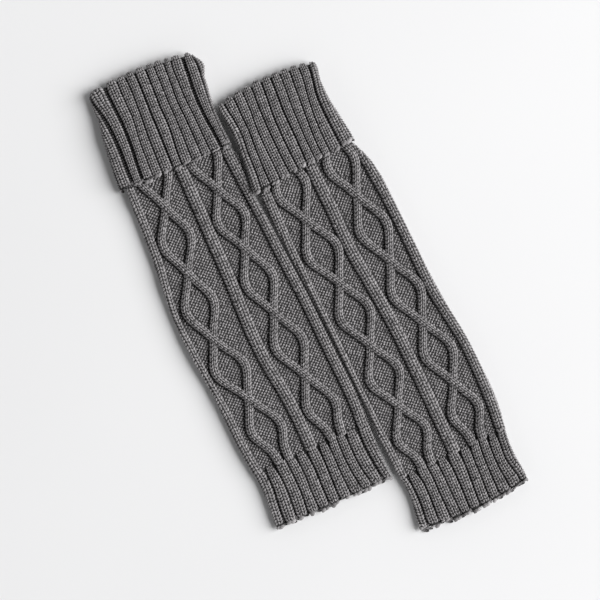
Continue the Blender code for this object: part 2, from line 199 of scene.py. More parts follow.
WALL = 2.1
TUBE_HEIGHT = 4.8
LAYER_STEP = 2.5  # from one layer of cloth to the next, with the gap between them
DROP_START = 1.0  # below the cuff's edge
DROP_LENGTH = 32.0  # over which the leg comes down to the table
PRESSED_LENGTH = 4.0  # over which the bands come up, below the cuff's edge
CLOTH_DEPTH = 1.0  # of the cloth under the tops of the stitches
PURL_RISE = -0.4  # of the ground between bands
GROOVE = 2.0  # how deep the ground dips on the left of a band, where the cables draw it in
GROOVE_WIDTH = 2.8
UNDER_DROP = 0.8  # how much deeper the ground lies under the warmer than on its front
UNDER_SHARE = 0.2  # what is left of a rise there
NO_BAND = -9.0  # a rise below all others
COLUMN_RISE = 2.7
COLUMN_HALF = 5.5
SIDE_HALF = 4.8
CABLE_RISE = 3.2
STRAND_HALF = 4.2
QUICK_SHARE = 0.1  # of the quick sine in a strand's swing
CROSSING_RISE = 0.6
CROSSING_SINK = 1.5
CROSSING_SWING = 3.6  # within which one strand lies on the other
STRANDS_PART = 5.0
PART_ABOVE = 12.0  # above the seam: each strand's side here is the way that it parts
PART_FROM = 26.4  # above the seam
PART_LENGTH = 22.0
CROWN_POWER = 2.8
CLOTH_COLUMNS = 160
CLOTH_ROW = 2.6
# Painted shade: the ground cloth is the stitches' own yarn, coloured far darker to stand in for the shade in
# the holes between stitches
CLOTH_SHADE_DARK = (0.014, 0.0133, 0.0136)
CLOTH_SHADE_LIGHT = (0.05, 0.048, 0.049)
BAKE_WIDTH = 0.92  # how much of its UV square a piece's girth fills
BAKE_EDGE = 0.02


def table(columns, *rows):
    """The rows as a dictionary of named columns."""
    return dict(zip(columns.split(), np.array(rows, float).T))


def read(rows, column, down):
    """The column at this distance down: cubic pieces that share their slope where they meet."""
    x, y = rows["down"], rows[column]
    slope = np.gradient(y, x)
    down = np.clip(down, x[0], x[-1])
    i = np.clip(np.searchsorted(x, down) - 1, 0, len(x) - 2)
    step = x[i + 1] - x[i]
    t = (down - x[i]) / step
    return (
        y[i] * (1 + 2 * t) * (1 - t) ** 2
        + y[i + 1] * t * t * (3 - 2 * t)
        + slope[i] * step * t * (1 - t) ** 2
        - slope[i + 1] * step * t * t * (1 - t)
    )


def smooth(t):
    """0 to 1 with level ends, 3 t squared less 2 t cubed."""
    t = np.clip(t, 0, 1)
    return t * t * (3 - 2 * t)


def cable(swing, *crossings):
    """A cable: how far its strands swing to each side, and where they cross."""
    return {"swing": swing, "crossings": table("down across", *crossings)}


# place is the top of the warmer's axis, and turn its angle in degrees. leg is the outline, columns are
# the inner edges of the side columns, and bow says how far a row's ends hang lower and how it tilts.
WARMERS = {
    "left": {
        "place": (-47.7, 233.9),
        "turn": -0.95,
        "cuff_edge": 86.0,
        "hem_seam": 365.0,
        "hem_edge": 419.2,
        "leg": table(
            "down left right",
            (70, -54.8, 43.0), (86, -56.0, 43.4), (98, -57.6, 48.6), (112, -58.9, 48.6),
            (134, -60.2, 45.2), (146, -61.0, 47.4), (162, -61.8, 49.3), (186, -63.8, 51.4),
            (207, -65.2, 53.7), (252, -64.4, 56.2), (282, -60.9, 57.8), (320, -60.0, 59.4),
            (342, -59.2, 59.7), (362, -57.0, 59.2), (378, -54.7, 57.8), (390, -54.8, 56.6),
            (418, -56.9, 56.8),
        ),
        "columns": table(
            "down left right",
            (90, -49.4, 35.6), (130, -50.6, 38.4), (162, -52.8, 40.7), (185, -56.4, 41.9),
            (207, -59.0, 43.1), (240, -57.6, 45.4), (275, -54.8, 46.5), (300, -52.0, 47.3),
            (342, -50.0, 48.5), (365, -47.4, 47.2),
        ),
        "bow": table(
            "down edges tilt",
            (-10, 4.6, 1.6), (30, 1.0, 0.6), (86, -1.0, 0.8), (200, 0.0, 0.0), (365, 0.0, 0.0),
            (418, -1.6, 0.0),
        ),
        "centre": table(
            "down across",
            (90, -3.6), (162, -3.8), (207, -4.2), (243, -5.4), (279, -4.4), (306, -1.0), (333, 1.2),
            (365, 1.6),
        ),
        "cables": (
            cable(
                13.6,
                (52.0, -27.0), (115.2, -30.6), (177.3, -36.0), (240.3, -39.2), (301.5, -32.2),
                (364.5, -25.4), (427.0, -25.4),
            ),
            cable(
                13.0,
                (56.0, 18.4), (119.0, 18.9), (177.3, 19.8), (240.3, 20.2), (303.3, 22.8),
                (366.0, 27.0), (428.0, 27.0),
            ),
        ),
    },
    "right": {
        "place": (52.4, 183.4),
        "turn": 0.95,
        "cuff_edge": 82.6,
        "hem_seam": 372.0,
        "hem_edge": 427.0,
        "leg": table(
            "down left right",
            (66, -49.0, 41.2), (80, -49.6, 41.8), (91, -53.4, 45.6), (104, -54.4, 50.6),
            (119, -53.8, 53.8), (140, -52.3, 54.6), (162, -51.5, 54.8), (207, -50.8, 54.9),
            (252, -50.0, 57.0), (277, -49.8, 59.2), (306, -50.4, 60.2), (342, -51.6, 60.0),
            (360, -51.2, 57.8), (378, -49.8, 53.8), (390, -49.4, 52.6), (425, -54.4, 53.2),
        ),
        "columns": table(
            "down left right",
            (90, -42.2, 41.2), (124, -43.6, 44.0), (150, -44.6, 44.9), (190, -44.8, 45.2),
            (235, -44.6, 45.3), (260, -44.8, 48.2), (282, -44.8, 50.5), (318, -44.6, 50.5),
            (345, -43.6, 49.0), (372, -43.2, 46.2),
        ),
        "bow": table(
            "down edges tilt",
            (-6, 5.2, 1.0), (30, 1.0, -1.6), (83, 0.0, -2.4), (200, 0.0, 0.0), (372, 0.0, 0.0),
            (425, -5.4, 0.4),
        ),
        "centre": table(
            "down across",
            (90, 0.0), (126, 0.3), (162, -0.4), (207, 2.5), (252, 5.0), (288, 5.2), (333, 4.8),
            (372, 4.4),
        ),
        "cables": (
            cable(
                14.2,
                (62.0, -23.0), (126.0, -24.8), (190.8, -22.5), (252.9, -21.8), (312.3, -22.9),
                (370.0, -23.2), (429.0, -23.0),
            ),
            cable(
                12.9,
                (64.0, 25.6), (127.8, 26.1), (192.6, 27.2), (254.7, 29.4), (315.0, 30.8),
                (372.0, 27.4), (430.0, 27.0),
            ),
        ),
    },
}

# Soft mounds where the front doesn't lie quite flat
WAVES = table(
    "down across length width rise",
    (140, 30, 60, 26, 0.5), (205, -46, 70, 22, 0.7), (270, 8, 80, 20, 0.4), (330, -42, 60, 24, 0.6),
    (345, 40, 70, 24, 0.5),
)


def wave(down, across):
    """The height of the mounds, each a bell curve down and across."""
    mounds = zip(*WAVES.values())
    return sum(
        rise * np.exp(-(((down - d) / length) ** 2) - ((across - a) / width) ** 2)
        for d, a, length, width, rise in mounds
    )


def leg_section(warmer, down):
    """The leg's flattened tube: its left and right edges, its underside and the radius of its rolls."""
    lift = LAYER_STEP * smooth(1 - (down - warmer["cuff_edge"] - DROP_START) / DROP_LENGTH)
    return (
        read(warmer["leg"], "left", down),
        read(warmer["leg"], "right", down),
        lift,
        np.full_like(down, TUBE_HEIGHT / 2),
    )


def leg_layout(warmer):
    """Where cloth of the leg lies: its section, its distance down, and no tip over a fold."""

    def layout(down):
        return leg_section(warmer, down), down, 0.0

    return layout


def girth_of(section):
    """The way round the tube: its two flats and its two half circles."""
    left, right, _, radius = section
    return 2 * (right - left - 2 * radius) + 2 * math.pi * radius


def rolled(section, around):
    """Where a distance round the tube falls: its flat part, side, angle over the roll, and way past it."""
    left, right, _, radius = section
    middle = (left + right) / 2
    girth = girth_of(section)
    around = middle + np.mod(around - middle + girth / 2, girth) - girth / 2
    flat = np.clip(around, left + radius, right - radius)
    over = np.abs(around - flat)
    angle = np.minimum(over / radius, math.pi)
    return flat, np.sign(around - flat), angle, over - radius * angle


def under_tube(section, around_front):
    """The distance round the tube of the place below a place on the flat of the front."""
    _, right, _, radius = section
    return 2 * right + (math.pi - 2) * radius - around_front


def stitch_height(section, around, rise):
    """How far out a rise reaches: all of it on the front, less over the sides, and inwards below."""
    upward = np.cos(rolled(section, around)[2])
    kept = UNDER_SHARE + (1 - UNDER_SHARE) * np.maximum(upward, 0) ** 2
    return rise * kept - UNDER_DROP * (1 - upward) / 2


def on_tube(warmer, section, around, down, height, tip=0.0):
    """Points on cloth that is wrapped round a flattened tube, in metres.

    A point goes across the flat, over the roll by its angle and back underneath, then out by its height
    and up the warmer by the tip of the cloth. The row it is in bows by the square of its way from the
    middle and tilts by that way, and last the warmer is turned and moved to its place.
    """
    flat, side, angle, past = rolled(section, around)
    left, right, bottom, radius = section
    out_x, out_z = side * np.sin(angle), np.cos(angle)
    x = flat + radius * out_x - side * past
    z = bottom + radius + radius * out_z + wave(down, x) * np.maximum(out_z, 0) ** 4
    x = x + height * np.cos(tip) * out_x
    z = z + height * np.cos(tip) * out_z
    way = (x - (left + right) / 2) / ((right - left) / 2)
    bow = warmer["bow"]
    down = down - height * np.sin(tip) + read(bow, "edges", down) * way**2 + read(bow, "tilt", down) * way
    turn = math.radians(warmer["turn"])
    world_x = warmer["place"][0] + x * math.cos(turn) + down * math.sin(turn)
    world_y = warmer["place"][1] + x * math.sin(turn) - down * math.cos(turn)
    return np.stack([world_x, world_y, z], axis=-1) * MM


def pressed(warmer, down):
    """How far the bands are up below the turned cuff, from 0 to 1."""
    return smooth((down - warmer["cuff_edge"]) / PRESSED_LENGTH)


def column(warmer, path, half):
    """A raised band of knit along a path: its middle, half its width and its rise at each down."""
    return {"path": path, "half": half, "rise": lambda down: COLUMN_RISE * pressed(warmer, down)}


def strand(warmer, cable, side):
    """One of a cable's two strands, side -1 or 1.

    It swings from crossing to crossing as a sine less a share of one three times as quick, which leaves
    it nearly straight between rounded corners. It goes over the other strand where it runs down to the
    right and under it where it runs down to the left. Above the hem the two part to meet two ribs.
    """
    crossings, seam = cable["crossings"], warmer["hem_seam"]
    counts = np.arange(len(crossings["down"]))
    last = side * math.sin(math.pi * np.interp(seam - PART_ABOVE, crossings["down"], counts))

    def swing_at(down):
        turns = np.interp(down, crossings["down"], counts)
        parting = smooth((PART_FROM - (seam - down)) / PART_LENGTH)
        zigzag = np.sin(math.pi * turns) - QUICK_SHARE * np.sin(3 * math.pi * turns)
        swing = side * cable["swing"] * zigzag / (1 + QUICK_SHARE)
        parted = np.sign(last) * np.hypot(swing, STRANDS_PART * parting)
        return np.where(parting > 0, parted, swing), side * np.cos(math.pi * turns), parting

    def path(down):
        return read(crossings, "across", down) + swing_at(down)[0]

    def rise(down):
        swing, over, parting = swing_at(down)
        crossing = np.exp(-((swing / CROSSING_SWING) ** 2)) * (1 - parting)
        crossed = crossing * np.where(over > 0, CROSSING_RISE, -CROSSING_SINK)
        return (CABLE_RISE + crossed) * pressed(warmer, down)

    return {"path": path, "half": STRAND_HALF, "rise": rise}


def leg_bands(warmer):
    """The raised bands, on the front and again below: a column at each side and the centre, two cables."""
    columns = warmer["columns"]
    left = column(warmer, lambda down: read(columns, "left", down) - SIDE_HALF, SIDE_HALF)
    right = column(warmer, lambda down: read(columns, "right", down) + SIDE_HALF, SIDE_HALF)
    centre = column(warmer, lambda down: read(warmer["centre"], "across", down), COLUMN_HALF)
    strands = [strand(warmer, cable, side) for cable in warmer["cables"] for side in (-1, 1)]
    return [left, right, centre, *strands]


def crown(across):
    """The rounded top of a band, 1 in its middle and 0 at its edges: 1 less a power of the way across."""
    return np.maximum(0, 1 - np.abs(across) ** CROWN_POWER)


def dip(across, half):
    """How far the ground dips beside a band: a wide bell curve on its left, a small one on its right."""
    left, right = np.maximum(0, -across - half), np.maximum(0, across - half)
    wide, small = np.exp(-((left / GROOVE_WIDTH) ** 2)), 0.1 * np.exp(-(right**2))
    return GROOVE * np.where(across < 0, wide, small)


def relief(warmer, section, bands, around, down):
    """The rise of whichever band stands highest at each place, on the front and below it, or the ground's."""
    girth = girth_of(section)
    below = under_tube(section, around)
    highest, deepest = np.full_like(around, NO_BAND), np.zeros_like(around)
    for place in (around, below):
        for band in bands:
            across = place - band["path"](down)
            across = across - girth * np.round(across / girth)
            raised = band["rise"](down) * crown(across / band["half"])
            highest = np.maximum(highest, np.where(np.abs(across) < band["half"], raised, NO_BAND))
            deepest = np.maximum(deepest, dip(across, band["half"]))
    return np.maximum(highest, (PURL_RISE - deepest) * pressed(warmer, down))


def grid_faces(rows, columns):
    """The quads of a grid of points, its columns not joined up."""
    corner = np.arange(rows - 1)[:, None] * columns + np.arange(columns - 1)
    quads = np.stack([corner, corner + columns, corner + columns + 1, corner + 1], axis=-1)
    return quads.reshape(-1, 4)


def make_piece(name, points, faces, material, maps, tones=None):
    """A smooth mesh from points and quads, with UV maps and a tone for each point."""
    mesh = bpy.data.meshes.new(name)
    mesh.from_pydata(points.reshape(-1, 3), [], faces)
    corners = faces.reshape(-1)
    for map_name, values in maps.items():
        layer = mesh.uv_layers.new(name=map_name)
        layer.data.foreach_set("uv", values.reshape(-1, 2)[corners].astype(np.float32).reshape(-1))
    if tones is not None:
        attribute = mesh.attributes.new("tone", "FLOAT", "POINT")
        attribute.data.foreach_set("value", tones.reshape(-1).astype(np.float32))
    mesh.polygons.foreach_set("use_smooth", np.ones(len(faces), bool))
    mesh.materials.append(material)
    mesh.update()
    made = bpy.data.objects.new(name, mesh)
    scene.collection.objects.link(made)
    return made


def bake_map(section, around, down, span):
    """Bake UVs: the way round the tube across the map, and the way down the piece up it."""
    middle = (section[0] + section[1]) / 2
    turn = (around - middle) / girth_of(section)
    if turn.ndim > 2:
        turn = turn - np.round(turn.mean(axis=(1, 2), keepdims=True))
    up = (down - span[0]) / (span[1] - span[0])
    return np.stack([0.5 + BAKE_WIDTH * turn, BAKE_EDGE + (1 - 2 * BAKE_EDGE) * up], axis=-1)


def cloth_material(name, dark, light):
    """Ground fabric between stitches, painted far darker than its yarn as shade, with lighter fibres along
    it.
    """
    material, shader, start = new_material(name, roughness=0.95)
    place = start.node("ShaderNodeTexCoord", output=3)
    fibres = start.node("ShaderNodeTexNoise", inputs={"Vector": place, "Scale": 700.0, "Detail": 3.0})
    colour = fibres.blend(dark, light)
    material.node_tree.links.new(colour.socket, shader.inputs["Base Color"])
    bump = start.node("ShaderNodeBump", inputs={"Height": fibres, "Strength": 0.6, "Distance": 0.4 * MM})
    material.node_tree.links.new(bump.socket, shader.inputs["Normal"])
    return material


# The legs' ground cloth, coloured dark as painted shade between the stitches
leg_painted_shade_cloth_material = cloth_material("leg_ground_painted_shade", CLOTH_SHADE_DARK, CLOTH_SHADE_LIGHT)


def make_cloth(node, warmer, layout, downs, depths, rise_at, material):
    """A tube of cloth through rows at these distances down and depths, with a relief pressed into it."""
    shares = np.linspace(-0.5, 0.5, CLOTH_COLUMNS + 1)
    place = downs[:, None] + 0 * shares
    section, down, tip = layout(place)
    around = (section[0] + section[1]) / 2 + shares * girth_of(section)
    height = stitch_height(section, around, rise_at(section, around, place)) - depths[:, None]
    points = on_tube(warmer, section, around, down, height, tip)
    maps = {"OFBake": bake_map(section, around, place, (downs.min(), downs.max()))}
    piece = make_piece(f"{node}_cloth", points, grid_faces(*place.shape), material, maps)
    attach(piece, "root")
    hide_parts(node)
    return piece


def make_leg_cloth(side, warmer):
    """The leg's ground fabric, from within the cuff to the hem seam, pressed up into its bands."""
    first, last = warmer["cuff_edge"] - 2.5, warmer["hem_seam"] + 1.0
    downs = np.linspace(first, last, round((last - first) / CLOTH_ROW) + 1)
    depths = np.full_like(downs, CLOTH_DEPTH)
    bands = leg_bands(warmer)

    def rise_at(section, around, down):
        return relief(warmer, section, bands, around, down)

    node, layout, material = f"{side}_leg", leg_layout(warmer), leg_painted_shade_cloth_material
    return make_cloth(node, warmer, layout, downs, depths, rise_at, material)


# ---- Legs: the raised knit stitches ---------------------------------------------------------------
# Columns and cable strands are wales of knit stitches. A stitch shows as the two legs of a V, each a
# short length of plied yarn that comes up out of the cloth and dives under the stitch below it.

LEG_COURSE = 3.1
YARN_THICK = 1.3  # how far the sides of a leg of yarn drop below its top
LEG_SINK = 1.2  # how far its ends dive
LEG_REACH = 0.56  # half its length, in courses
LEG_HALF = 0.228  # half its width, in half widths of its band, as are the next two
LEG_OUT = 0.25  # from the middle of its wale to its own
LEG_LEAN = 0.125
LEG_TAPER = 0.8  # how much narrower its ends are
YARN_DARK = (0.115, 0.11, 0.112)
YARN_LIGHT = (0.37, 0.356, 0.362)
KNIT_TONE = (0.48, 0.14)  # the middle and spread of the stitches' tones
PLY_ALONG, PLY_ROUND = 3.4, 3.0  # the turn of the plies for each millimetre
FIBRE_SHIFT = 40.0  # no two stitches show the same fibres
# The places along a leg of yarn and from side to side of it where its mesh has points
FINE = (np.linspace(-1, 1, 5), np.array([-1.0, -0.66, 0.0, 0.66, 1.0]))
COARSE = (np.linspace(-1, 1, 3), np.array([-1.0, 0.0, 1.0]))
rng = np.random.default_rng(7)


def yarn_material(name, dark, light):
    """Melange yarn: plies twisted together, in dark and pale fibres that run along it.

    The plies are a sine over the yarn's own map, along it and round it at a slant. The fibres are noise
    that is long along the yarn and short across it, and each stitch has its own tone.
    """
    material, shader, start = new_material(name, roughness=0.88)
    shader.inputs["Sheen Weight"].default_value = 0.1
    shader.inputs["Sheen Roughness"].default_value = 0.5
    yarn = start.node("ShaderNodeUVMap", {"uv_map": "yarn"})
    along = start.node("ShaderNodeSeparateXYZ", inputs={"Vector": yarn})
    across = along.output(1)
    ply = start.math("SINE", along * PLY_ALONG + across * PLY_ROUND)
    streak_place = start.node("ShaderNodeCombineXYZ", inputs={0: along * 0.7, 1: across * 6.0})
    streaks = start.node("ShaderNodeTexNoise", inputs={"Vector": streak_place, "Scale": 1.0, "Detail": 3.0})
    place = start.node("ShaderNodeTexCoord", output=3)
    patches = start.node("ShaderNodeTexNoise", inputs={"Vector": place, "Scale": 260.0, "Detail": 2.0})
    tone = start.node("ShaderNodeAttribute", {"attribute_name": "tone"}, output=2)
    # ply * 0.06 makes the plies' crests a little lighter and the grooves between them darker: painted shade
    mix = (streaks - 0.5) * 1.2 + (patches - 0.5) * 0.5 + tone + ply * 0.06
    mix = mix.node("ShaderNodeClamp", inputs={"Value": mix})
    colour = mix.blend(dark, light)
    material.node_tree.links.new(colour.socket, shader.inputs["Base Color"])
    height = ply * 0.5 + streaks
    bump = start.node("ShaderNodeBump", inputs={"Height": height, "Strength": 0.5, "Distance": 0.25 * MM})
    material.node_tree.links.new(bump.socket, shader.inputs["Normal"])
    return material


def knit_legs(place, downs, course, facing, detail):
    """The legs of knit stitches in one band of two wales: arrays of stitch, wale, leg, station and side.

    place(across, down) gives the way round and the rise of a place in the band, across being from -1 to
    1. A leg leans from the point of its V, near the middle of its wale, outwards to the next course: it
    is widest half way, by a power of its station, and its top is a half ellipse from side to side.
    """
    p, q = np.meshgrid(*detail, indexing="ij")
    shape = (len(downs), 2, 2, *p.shape)
    wale = np.array([-0.5, 0.5]).reshape(-1, 1, 1, 1)
    leg = np.array([-1.0, 1.0]).reshape(-1, 1, 1)
    uneven = rng.normal(0, 1, shape[:3])[..., None, None]
    width = (1 - LEG_TAPER * np.abs(p) ** 3) * LEG_HALF * (1 + 0.1 * uneven)
    lean = leg * (LEG_OUT - LEG_LEAN * facing * p)
    across = wale + lean + q * width
    down = downs.reshape(-1, 1, 1, 1, 1) + course * (LEG_REACH * p + 0.06 * uneven) + 0 * across
    around, rise = place(across + 0 * down, down)
    drop = YARN_THICK * (1 - np.sqrt(np.maximum(0, 1 - q**2))) + LEG_SINK * np.abs(p) ** 3
    offset = rng.uniform(0, FIBRE_SHIFT, shape[:3])[..., None, None]
    yarn = np.stack([course * LEG_REACH * p + offset, 1.2 * q + 0 * offset], axis=-1)
    tone = np.clip(rng.normal(*KNIT_TONE, shape[:3]), 0, 1)[..., None, None] + 0 * down
    drop = drop + 0 * down
    kind = {"around": around, "down": down, "rise": rise, "drop": drop, "tone": tone}
    kind = {name: values.reshape(-1, *shape[3:]) for name, values in kind.items()}
    return {**kind, "yarn": yarn.reshape(-1, *shape[3:], 2)}


def make_yarn(name, warmer, layout, kinds, material):
    """One piece from several kinds of stitches, each kind an array of small grids of points."""
    downs = [kind["down"] for kind in kinds]
    span = min(down.min() for down in downs), max(down.max() for down in downs)
    points, faces, bakes, start = [], [], [], 0
    for kind in kinds:
        section, down, tip = layout(kind["down"])
        height = stitch_height(section, kind["around"], kind["rise"]) - kind["drop"]
        points.append(on_tube(warmer, section, kind["around"], down, height, tip).reshape(-1, 3))
        bakes.append(bake_map(section, kind["around"], kind["down"], span).reshape(-1, 2))
        count, rows, columns = down.shape
        first_points = start + np.arange(count) * rows * columns
        faces.append((grid_faces(rows, columns) + first_points[:, None, None]).reshape(-1, 4))
        start += count * rows * columns
    maps = {
        "OFBake": np.concatenate(bakes),
        "yarn": np.concatenate([kind["yarn"].reshape(-1, 2) for kind in kinds]),
    }
    tones = np.concatenate([kind["tone"].reshape(-1) for kind in kinds])
    piece = make_piece(name, np.concatenate(points), np.concatenate(faces), material, maps, tones)
    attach(piece, "root")
    return piece


def in_band(warmer, band, below):
    """place() for a band on the front, or for the same band on the back, below where it is there."""

    def place(across, down):
        if below:
            front = band["path"](down) - band["half"] * across
            around = under_tube(leg_section(warmer, down), front)
        else:
            around = band["path"](down) + band["half"] * across
        return around, band["rise"](down) * crown(across)

    return place


leg_yarn_material = yarn_material("leg_yarn", YARN_DARK, YARN_LIGHT)


def make_leg_knit(side, warmer):
    """All knit stitches of a leg: fine ones on the front, coarse ones against the table."""
    first, last = warmer["cuff_edge"] - 1.0, warmer["hem_seam"]
    downs = np.arange(last, first, -LEG_COURSE)[::-1]
    kinds = []
    for band in leg_bands(warmer):
        for below, detail in ((False, FINE), (True, COARSE)):
            kinds.append(knit_legs(in_band(warmer, band, below), downs, LEG_COURSE, 1, detail))
    layout = leg_layout(warmer)
    return make_yarn(f"{side}_leg_knit", warmer, layout, kinds, leg_yarn_material)


# ---- Legs: the purl ground ------------------------------------------------------------------------
# Between the bands the ground is purl. A purl stitch shows as two short slanted bumps, and each row of
# them is set half a wale from the next.

PURL_WALE = 3.7
PURL_COURSE = 3.15
PURL_SLANT = math.radians(9)
PURL_LENGTH = 2.05
PURL_WIDTH = 1.75
PURL_THICK = 0.8
PURL_SINK = 0.5
PURL_STRAY = 0.22  # how far a bump lies from its place in the lattice
PURL_TONE = (0.6, 0.2)
PURL_HALF_ROW = 34  # more than enough to go half round the tube
PURL_FINE = (np.array([-1.0, -0.4, 0.4, 1.0]), np.array([-1.0, -0.5, 0.5, 1.0]))
BAND_CLEAR = 0.2


def purl_bumps(arounds, downs, rises, detail):
    """Purl bumps at these places: each a slanted spindle, its ends dived by the fourth power."""
    p, edge = np.meshgrid(*detail, indexing="ij")
    q = edge * np.sqrt(np.maximum(0.12, 1 - 0.8 * p**2))
    count = len(arounds)
    uneven = rng.normal(0, 1, (count, 1, 1))
    slant = PURL_SLANT + 0.3 * uneven
    length, width = PURL_LENGTH / 2 * (1 + 0.06 * uneven), PURL_WIDTH / 2
    arounds = arounds + rng.normal(0, PURL_STRAY, count)
    around = arounds[:, None, None] + p * length * np.cos(slant) - q * width * np.sin(slant)
    down = downs[:, None, None] - p * length * np.sin(slant) - q * width * np.cos(slant)
    drop = PURL_THICK * (1 - np.sqrt(np.maximum(0, 1 - edge**2))) + PURL_SINK * p**4
    offset = rng.uniform(0, FIBRE_SHIFT, (count, 1, 1))
    return {
        "around": around,
        "down": down,
        "rise": rises[:, None, None] + 0 * around,
        "drop": drop + 0 * around,
        "yarn": np.stack([p * length + offset, q * width + 0 * offset], axis=-1),
        "tone": np.clip(rng.normal(*PURL_TONE, (count, 1, 1)), 0, 1) + 0 * around,
    }


def ground_places(warmer, bands):
    """Where purl bumps go and their rise: a centred lattice all round the tube, left out under bands."""
    rows = np.arange(warmer["cuff_edge"] - 1.0, warmer["hem_seam"], PURL_COURSE / 2)
    columns = np.arange(-PURL_HALF_ROW, PURL_HALF_ROW + 1) * PURL_WALE
    down = rows[:, None] + 0 * columns
    around = columns + (np.arange(len(rows)) % 2)[:, None] * PURL_WALE / 2 + 0 * down
    section = leg_section(warmer, down)
    middle, girth = (section[0] + section[1]) / 2, girth_of(section)
    keep = np.abs(around) < girth / 2
    around = around + middle
    deepest = np.zeros_like(around)
    for place in (around, under_tube(section, around)):
        for band in bands:
            across = place - band["path"](down)
            across = across - girth * np.round(across / girth)
            keep &= np.abs(across) > band["half"] + BAND_CLEAR
            deepest = np.maximum(deepest, dip(across, band["half"]))
    below = np.abs(around - middle) > girth / 4 + 2
    rises = (PURL_RISE - deepest) * pressed(warmer, down)
    return [values[keep] for values in (around, down, rises, below)]


def make_leg_purl(side, warmer):
    """The purl ground of a leg: fine bumps on the front, coarse ones against the table."""
    *places, below = ground_places(warmer, leg_bands(warmer))
    kinds = []
    for half, detail in ((~below, PURL_FINE), (below, COARSE)):
        kinds.append(purl_bumps(*[values[half] for values in places], detail))
    layout = leg_layout(warmer)
    return make_yarn(f"{side}_leg_purl", warmer, layout, kinds, leg_yarn_material)


for side, warmer in WARMERS.items():
    cloth = make_leg_cloth(side, warmer)
    knit = make_leg_knit(side, warmer)
    purl = make_leg_purl(side, warmer)
    length = (warmer["hem_seam"] - warmer["cuff_edge"] + 3) * MM


# ---- Ribbing of the hems and cuffs ----------------------------------------------------------------
# Both ends are ribbed: each rib is two knit wales, with a purl valley between it and the next. Ribs laid
# by hand are uneven, so each valley has its own line and width, and the outermost ribs roll under.

RIB_RISE = 2.1
RIB_PITCH = 12.5  # of the ribs that roll under
BACK_GAP = 1.6
VALLEY_RISE = -1.7
OPEN_GAP = 1.2  # a valley at least this wide shows its purl stitches
END_SPREAD = 1.6  # how much wider the valleys are where the ribbing ends or folds
CROWN_SHARE = 0.92  # of a rib's crown that carries its stitches
# Painted shade: the purl stitches deep in a valley are coloured darker than the ground's, for the shade there
VALLEY_SHADE_TONE = 0.4  # of the purl ground's tone, in a valley's stitches
EDGE_ROW = 0.9  # from a free edge up to the middle of its loops
EDGE_LOOPS = 3  # to a rib
EDGE_LENGTH = 0.68  # of half a loop, in the steps from one to the next
EDGE_SWAY = 0.9
EDGE_TONE = (0.5, 0.2)
RIB_DARK = (0.105, 0.1, 0.102)
RIB_LIGHT = (0.36, 0.346, 0.352)
# Painted shade: the ribbing's ground cloth shows in its valleys and is coloured near black for the shade
# there
VALLEY_SHADE_DARK = (0.008, 0.0076, 0.0078)
VALLEY_SHADE_LIGHT = (0.024, 0.023, 0.0234)
rib_painted_shade_cloth_material = cloth_material("rib_ground_painted_shade", VALLEY_SHADE_DARK, VALLEY_SHADE_LIGHT)
rib_yarn_material = yarn_material("rib_yarn", RIB_DARK, RIB_LIGHT)


class Ribbing:
    """Ribs all round a tube, between valleys that are laid down by a table on its front."""

    def __init__(self, layout, gaps, rows, rises, spread):
        """gaps are the widths of the front's valleys, rises(down) the rise of each rib there, and
        spread(down) how much wider each valley is."""
        self.layout, self.rows, self.rises, self.spread = layout, rows, rises, spread
        self.front = len(gaps)
        self.gaps = np.array([BACK_GAP, *gaps] + [BACK_GAP] * self.front)

    def lines(self, down):
        """The way round to each valley, once round from the left of the front, longer where it rolls."""
        section = self.layout(down)[0]
        left, right, _, radius = (np.asarray(size)[..., None] for size in section)
        x = np.stack([read(self.rows, str(i), down) for i in range(self.front)], axis=-1)
        lean = np.maximum(0, x - right + radius) - np.maximum(0, left + radius - x)
        front = x - lean + radius * np.arcsin(np.clip(lean / radius, -1, 1))
        start, last = front[..., :1] - RIB_PITCH, front[..., -1:] + RIB_PITCH
        end = start + girth_of(section)[..., None]
        steps = np.arange(self.front) / (self.front - 1)
        return np.concatenate([start, front, last + (end - last) * steps], axis=-1)

    def sides(self, down):
        """The way round to where each rib starts and ends, half a valley in from its two lines."""
        lines = self.lines(down)
        half = (self.gaps + self.spread(down)) / 2
        return lines[..., :-1] + half[..., :-1], lines[..., 1:] - half[..., 1:]

    def in_rib(self, number):
        """place() for one rib, by its number from the left of the front and on round the back."""

        def place(across, down):
            start, end = (way[..., number] for way in self.sides(down))
            rise = self.rises(down)[..., number]
            return (start + end) / 2 + (end - start) / 2 * across, rise * crown(CROWN_SHARE * across)

        return place

    def relief(self, section, around, down):
        """The rise of a ribbed cloth: each rib's crown between its two valleys, which dip below it."""
        lines = self.lines(down[:, 0])[:, None, :]
        around = lines[..., 0] + np.mod(around - lines[..., 0], girth_of(section))
        number = np.clip((around[..., None] >= lines).sum(-1) - 1, 0, lines.shape[-1] - 2)
        start, end = (np.take_along_axis(way, number, -1) for way in self.sides(down[:, 0]))
        rise = np.take_along_axis(self.rises(down[:, 0]), number, -1)
        across = (2 * around - start - end) / (end - start)
        return np.where(np.abs(across) < 1, rise * crown(across), VALLEY_RISE * np.minimum(1, rise))

    def stitches(self, downs, course, facing):
        """All its stitches: fine knit legs on the front ribs, coarse ones below, and purl valleys."""
        kinds = []
        for number in range(2 * self.front):
            detail = FINE if number <= self.front else COARSE
            kinds.append(knit_legs(self.in_rib(number), downs, course, facing, detail))
        lines = self.lines(downs)[:, :-1][:, self.gaps[:-1] > OPEN_GAP]
        down = downs[:, None] + 0 * lines
        rises = VALLEY_RISE * np.minimum(1, self.rises(down)[..., 0])
        kinds.append(purl_bumps(lines.reshape(-1), down.reshape(-1), rises.reshape(-1), COARSE))
        # The valleys' purl stitches are darkened as painted shade
        kinds[-1]["tone"] *= VALLEY_SHADE_TONE
        return kinds


